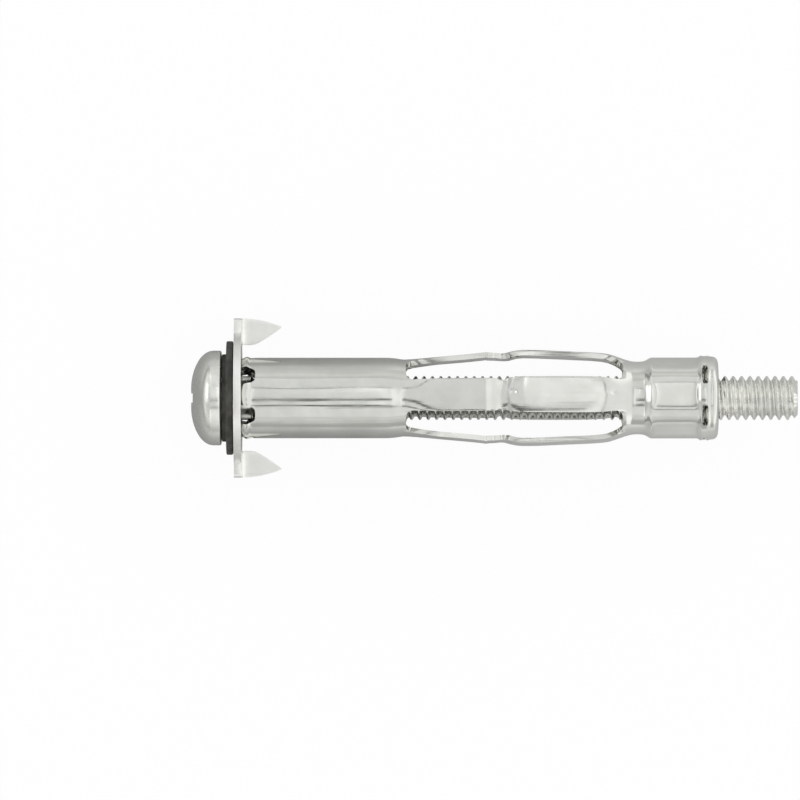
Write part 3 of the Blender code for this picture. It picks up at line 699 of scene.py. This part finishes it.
# the Mix node's inputs 6 and 7 are its two colours, and output 2 is the colour that it makes
blend_tones = clouds.nodes.new("ShaderNodeMix")
blend_tones.data_type = "RGBA"
clouds.links.new(tone.outputs[0], blend_tones.inputs["Factor"])
clouds.links.new(source.outputs["Pale"], blend_tones.inputs[6])
clouds.links.new(source.outputs["Deep"], blend_tones.inputs[7])
clouds.links.new(blend_tones.outputs[2], result.inputs["Color"])
gloss = clouds.nodes.new("ShaderNodeMapRange")
clouds.links.new(tone.outputs[0], gloss.inputs["Value"])
clouds.links.new(source.outputs["Glossy"], gloss.inputs["To Min"])
clouds.links.new(source.outputs["Dull"], gloss.inputs["To Max"])
clouds.links.new(gloss.outputs[0], result.inputs["Roughness"])
print("plating_clouds:", len(clouds.nodes), "nodes")

# %% Lines and waves as a height
relief, source, result = new_group(
    "surface_relief",
    [("Along", FLOAT, 100.0), ("Across", FLOAT, 4000.0), ("Fine", FLOAT, 0.2),
     ("Wave Along", FLOAT, 80.0), ("Wave Across", FLOAT, 600.0), ("Wave", FLOAT, 1.0)],
    [("Height", FLOAT)],
)
heights = []
fine_lines = ("Along", "Across", "Fine", 3.0)
slow_waves = ("Wave Along", "Wave Across", "Wave", 1.0)
for along, across, amount, detail in (fine_lines, slow_waves):
    place = scaled_place(relief, source, (along, across, across))
    noise = relief.nodes.new("ShaderNodeTexNoise")
    noise.inputs["Scale"].default_value = 1.0
    noise.inputs["Detail"].default_value = detail
    relief.links.new(place, noise.inputs["Vector"])
    height = relief.nodes.new("ShaderNodeMath")
    height.operation = "MULTIPLY"
    relief.links.new(noise.outputs["Fac"], height.inputs[0])
    relief.links.new(source.outputs[amount], height.inputs[1])
    heights.append(height)
total = relief.nodes.new("ShaderNodeMath")
relief.links.new(heights[0].outputs[0], total.inputs[0])
relief.links.new(heights[1].outputs[0], total.inputs[1])
relief.links.new(total.outputs[0], result.inputs["Height"])
print("surface_relief:", len(relief.nodes), "nodes")


# %% A metal made of these groups
def placed(material, group, **values):
    """Put a group into a material and set its inputs."""
    node = material.node_tree.nodes.new("ShaderNodeGroup")
    node.node_tree = group
    for label, value in values.items():
        node.inputs[label.replace("_", " ")].default_value = value
    return node


def plated(name, cloud_values, relief_values, bump_height):
    """Zinc-plated steel with its own clouds and relief."""
    material = bpy.data.materials.new(name)
    material.use_nodes = True
    nodes, links = material.node_tree.nodes, material.node_tree.links
    shader = nodes["Principled BSDF"]
    shader.inputs["Metallic"].default_value = 1.0
    tone = placed(material, clouds, **cloud_values)
    height = placed(material, relief, **relief_values)
    bump = nodes.new("ShaderNodeBump")
    bump.inputs["Strength"].default_value = 1.0
    bump.inputs["Distance"].default_value = bump_height
    links.new(height.outputs["Height"], bump.inputs["Height"])
    links.new(bump.outputs["Normal"], shader.inputs["Normal"])
    links.new(tone.outputs["Roughness"], shader.inputs["Roughness"])
    links.new(tone.outputs["Color"], shader.inputs["Base Color"])
    return material


# %% Rolled sheet, stamped plate and forged wire
sheet_zinc = plated(
    "zinc_on_rolled_sheet",
    {"Pale": (0.75, 0.755, 0.72, 1.0), "Deep": (0.67, 0.68, 0.64, 1.0),
     "Scale": 350.0, "Glossy": 0.08, "Dull": 0.18},
    {"Along": 60.0, "Across": 2600.0, "Fine": 0.22,
     "Wave_Along": 110.0, "Wave_Across": 650.0, "Wave": 1.0},
    bump_height=0.00005,
)
# painted light: the plate's zinc is painted paler than the sheet's, so the collar's edge comes out brighter
plate_zinc_painted_pale = plated(
    "zinc_on_stamped_plate_painted_pale",
    {"Pale": (0.93, 0.93, 0.90, 1.0), "Deep": (0.84, 0.845, 0.81, 1.0),
     "Scale": 500.0, "Glossy": 0.30, "Dull": 0.42},
    {"Along": 2500.0, "Across": 2500.0, "Fine": 0.10,
     "Wave_Along": 500.0, "Wave_Across": 500.0, "Wave": 1.0},
    bump_height=0.000010,
)
# painted light: the wire's zinc is painted paler than the sheet's, to make up for the shade between the thread's
# flanks and on the head
wire_zinc_painted_pale = plated(
    "zinc_on_forged_wire_painted_pale",
    {"Pale": (0.86, 0.86, 0.82, 1.0), "Deep": (0.76, 0.77, 0.73, 1.0),
     "Scale": 450.0, "Glossy": 0.20, "Dull": 0.32},
    {"Along": 3000.0, "Across": 3000.0, "Fine": 0.10,
     "Wave_Along": 450.0, "Wave_Across": 450.0, "Wave": 0.8},
    bump_height=0.000010,
)
print("metals:", sheet_zinc.name, plate_zinc_painted_pale.name, wire_zinc_painted_pale.name)

# %% [markdown]
# ## Vulcanised fibre
# The washer is dark grey, matt and a little mottled, and the layers of the board show as fine
# lines along its edge. The lines are noise that changes fast along X and slowly across it.

# %% Fibre with its layers
dark_fibre = bpy.data.materials.new("dark_fibre_board")
dark_fibre.use_nodes = True
nodes, links = dark_fibre.node_tree.nodes, dark_fibre.node_tree.links
shader = nodes["Principled BSDF"]
mottle = placed(dark_fibre, clouds, Pale=(0.085, 0.085, 0.075, 1.0), Deep=(0.045, 0.045, 0.04, 1.0),
                Scale=900.0, Glossy=0.62, Dull=0.85)
layers = placed(dark_fibre, relief, Along=9000.0, Across=500.0, Fine=1.0, Wave_Along=2500.0,
                Wave_Across=2500.0, Wave=0.5)
bump = nodes.new("ShaderNodeBump")
bump.inputs["Distance"].default_value = 0.00002
links.new(layers.outputs["Height"], bump.inputs["Height"])
links.new(bump.outputs["Normal"], shader.inputs["Normal"])
links.new(mottle.outputs["Color"], shader.inputs["Base Color"])
links.new(mottle.outputs["Roughness"], shader.inputs["Roughness"])
print("fibre:", len(nodes), "nodes")

# %% Give each piece its finish
finishes = {sleeve: sheet_zinc, collar: plate_zinc_painted_pale, screw: wire_zinc_painted_pale, washer: dark_fibre}
for node in frame["nodes"].values():
    finishes[node] = sheet_zinc
for piece, finish in finishes.items():
    piece.data.materials.clear()
    piece.data.materials.append(finish)
print("finishes:", sorted(finish.name for finish in set(finishes.values())))

# %% [markdown]
# ## Paper, light and camera
# The anchor lies on white paper. The polished tube mirrors that paper in its sides, but greyer
# than the camera sees it. So for the light the paper is a matt grey board with painted shade:
# it is painted darkest close to the anchor and towards its head, as though the anchor shaded it
# there. For the camera it is nearly white and mixed with a plain glow. It comes out white that
# way and keeps the anchor's shadow, and the metal sees a little of the glow too.

# %% White paper
only()
bpy.ops.mesh.primitive_plane_add(size=6.0)
paper = bpy.context.object
paper.name = "white_paper"
white = bpy.data.materials.new("white_paper")
white.use_nodes = True
nodes, links = white.node_tree.nodes, white.node_tree.links
nodes.remove(nodes["Principled BSDF"])
rays = nodes.new("ShaderNodeLightPath")
place = nodes.new("ShaderNodeTexCoord")
parts = nodes.new("ShaderNodeSeparateXYZ")
links.new(place.outputs["Object"], parts.inputs[0])
beside = nodes.new("ShaderNodeMath")
beside.operation = "ABSOLUTE"
links.new(parts.outputs["Y"], beside.inputs[0])
# painted shade: from this place to that one, in metres, the board goes from this shade to that
# one, so it is darkest by the anchor's axis and towards its head
painted_shade_by_axis = (beside, 0.008, 0.05, 0.36, 0.66)
painted_shade_towards_head = (parts, -0.014, 0.006, 0.0, 0.26)
shade = nodes.new("ShaderNodeMath")
for index, (source, low, high, dark, pale) in enumerate((painted_shade_by_axis, painted_shade_towards_head)):
    ramp = nodes.new("ShaderNodeMapRange")
    for label, value in (("From Min", low), ("From Max", high), ("To Min", dark), ("To Max", pale)):
        ramp.inputs[label].default_value = value
    links.new(source.outputs[0], ramp.inputs["Value"])
    links.new(ramp.outputs[0], shade.inputs[index])
board_color = nodes.new("ShaderNodeMix")
board_color.data_type = "RGBA"
board_color.inputs[7].default_value = (0.98, 0.98, 0.98, 1.0)
links.new(rays.outputs["Is Camera Ray"], board_color.inputs["Factor"])
links.new(shade.outputs[0], board_color.inputs[6])
board = nodes.new("ShaderNodeBsdfDiffuse")
links.new(board_color.outputs[2], board.inputs["Color"])
print("board:", len(nodes), "nodes")

# %% The paper's glow
glow = nodes.new("ShaderNodeEmission")
glow_weights = {"Is Camera Ray": 0.94, "Is Glossy Ray": 0.08, "Is Transmission Ray": 0.08}
amount = None
for output, weight in glow_weights.items():
    part = nodes.new("ShaderNodeMath")
    part.operation = "MULTIPLY_ADD"
    part.inputs[1].default_value = weight
    part.inputs[2].default_value = 0.0
    links.new(rays.outputs[output], part.inputs[0])
    if amount:
        links.new(amount.outputs[0], part.inputs[2])
    amount = part
mix = nodes.new("ShaderNodeMixShader")
links.new(amount.outputs[0], mix.inputs[0])
links.new(board.outputs[0], mix.inputs[1])
links.new(glow.outputs[0], mix.inputs[2])
links.new(mix.outputs[0], nodes["Material Output"].inputs["Surface"])
paper.data.materials.append(white)
paper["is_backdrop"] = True
print("paper:", len(nodes), "nodes")

# %% [markdown]
# A round polished thing shows the whole room as bands along its length. So the lamps are long
# soft boxes beside each other over the anchor, with narrow dark gaps between them: the gaps are
# the thin dark lines along the tube, and the room's darker walls its darker edges. Over the
# middle the boxes get brighter towards the tip. Two more boxes stand beyond the head, for its
# dome, and a round window beyond the tip, for all that slopes that way.


# %% Soft boxes round the anchor
aim = Vector((-0.009, 0.0, axis_height))


def softbox(name, across, along, radiance, distance=0.45):
    """A lamp that spans two angles across the anchor and two along it, from straight up."""
    a, b = (math.radians(sum(span) / 2) for span in (across, along))
    spreads = [math.radians(high - low) for low, high in (across, along)]
    width, length = (2 * distance * math.tan(spread / 2) for spread in spreads)
    light = bpy.data.lights.new(name, "AREA")
    light.shape = "RECTANGLE"
    light.size, light.size_y = length, width
    light.energy = radiance * math.pi * length * width
    lamp = bpy.data.objects.new(name, light)
    way = Vector((math.sin(b) * math.cos(a), -math.sin(a), math.cos(b) * math.cos(a)))
    lamp.location = aim + distance * way
    lamp.rotation_euler = (a, b, 0.0)
    lamp.visible_camera = False
    bpy.context.scene.collection.objects.link(lamp)


# degrees across the anchor, from and to, and radiance
side_boxes = [
    (-92, -75, 0.36), (-75, -58, 0.42), (-58, -30.2, 0.74),
    (25.5, 56, 0.78), (56, 66, 0.52), (66, 76, 0.32), (76, 90, 0.16),
]
whole, head_end, tube_end, tip_end = (-28, 20), (-28, 0.3), (0.3, 9.5), (9.5, 20)
boxes = [((low, high), whole, radiance) for low, high, radiance in side_boxes]
for across in ((-28.5, 3), (8.5, 20.5)):
    boxes += [(across, head_end, 0.72), (across, tube_end, 0.88)]
boxes += [((-28.5, 22), tip_end, 1.02)]
boxes += [((-30, 6), (-62, -43), 1.0), ((-55, 55), (-75, -28), 0.48)]
for number, (across, along, radiance) in enumerate(boxes):
    softbox(f"lamp_{number}", across, along, radiance)
print("soft boxes:", len(boxes))

# %% A round window beyond the tip
window_distance, window_spread, window_radiance = 0.30, 69.8, 0.88
light = bpy.data.lights.new("window", "AREA")
light.shape = "DISK"
light.size = 2 * window_distance * math.tan(math.radians(window_spread))
light.energy = window_radiance * math.pi ** 2 * light.size ** 2 / 4
window = bpy.data.objects.new("window", light)
window.location = (aim.x + window_distance, 0.0, axis_height)
window.rotation_euler = (0.0, math.radians(90), 0.0)
window.visible_camera = False
bpy.context.scene.collection.objects.link(window)
print("window:", round(light.size, 2), "m wide")

# %% The room
world = bpy.data.worlds.new("studio")
world.use_nodes = True
bpy.context.scene.world = world
nodes, links = world.node_tree.nodes, world.node_tree.links
way = nodes.new("ShaderNodeTexCoord")
parts = nodes.new("ShaderNodeSeparateXYZ")
links.new(way.outputs["Generated"], parts.inputs[0])
walls = nodes.new("ShaderNodeValToRGB")
walls.color_ramp.elements[0].position = 0.0
walls.color_ramp.elements[0].color = (0.32, 0.32, 0.31, 1.0)
walls.color_ramp.elements[1].position = 0.60
walls.color_ramp.elements[1].color = (0.13, 0.13, 0.13, 1.0)
middle = walls.color_ramp.elements.new(0.35)
middle.color = (0.42, 0.42, 0.41, 1.0)
links.new(parts.outputs["Z"], walls.inputs[0])
room = nodes["Background"]
links.new(walls.outputs[0], room.inputs["Color"])
backdrop = nodes.new("ShaderNodeBackground")
backdrop.inputs["Color"].default_value = (1.0, 1.0, 1.0, 1.0)
rays = nodes.new("ShaderNodeLightPath")
mix = nodes.new("ShaderNodeMixShader")
links.new(rays.outputs["Is Camera Ray"], mix.inputs[0])
links.new(room.outputs[0], mix.inputs[1])
links.new(backdrop.outputs[0], mix.inputs[2])
links.new(mix.outputs[0], nodes["World Output"].inputs["Surface"])
print("room:", len(nodes), "nodes")

# %% Camera
camera_height, view_width = 0.9, 0.076
lens = bpy.data.cameras.new("camera")
camera = bpy.data.objects.new("camera", lens)
bpy.context.scene.collection.objects.link(camera)
bpy.context.scene.camera = camera
camera.location = (-0.00892, -0.00019, camera_height)
lens.lens = lens.sensor_width * (camera_height - axis_height) / view_width
lens.clip_start = 0.05
bpy.context.scene.view_settings.view_transform = "Standard"
print("lens:", round(lens.lens), "mm")

# %% Sizes
low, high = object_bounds()
print("visual", [round(v * 1000, 2) for v in high - low])
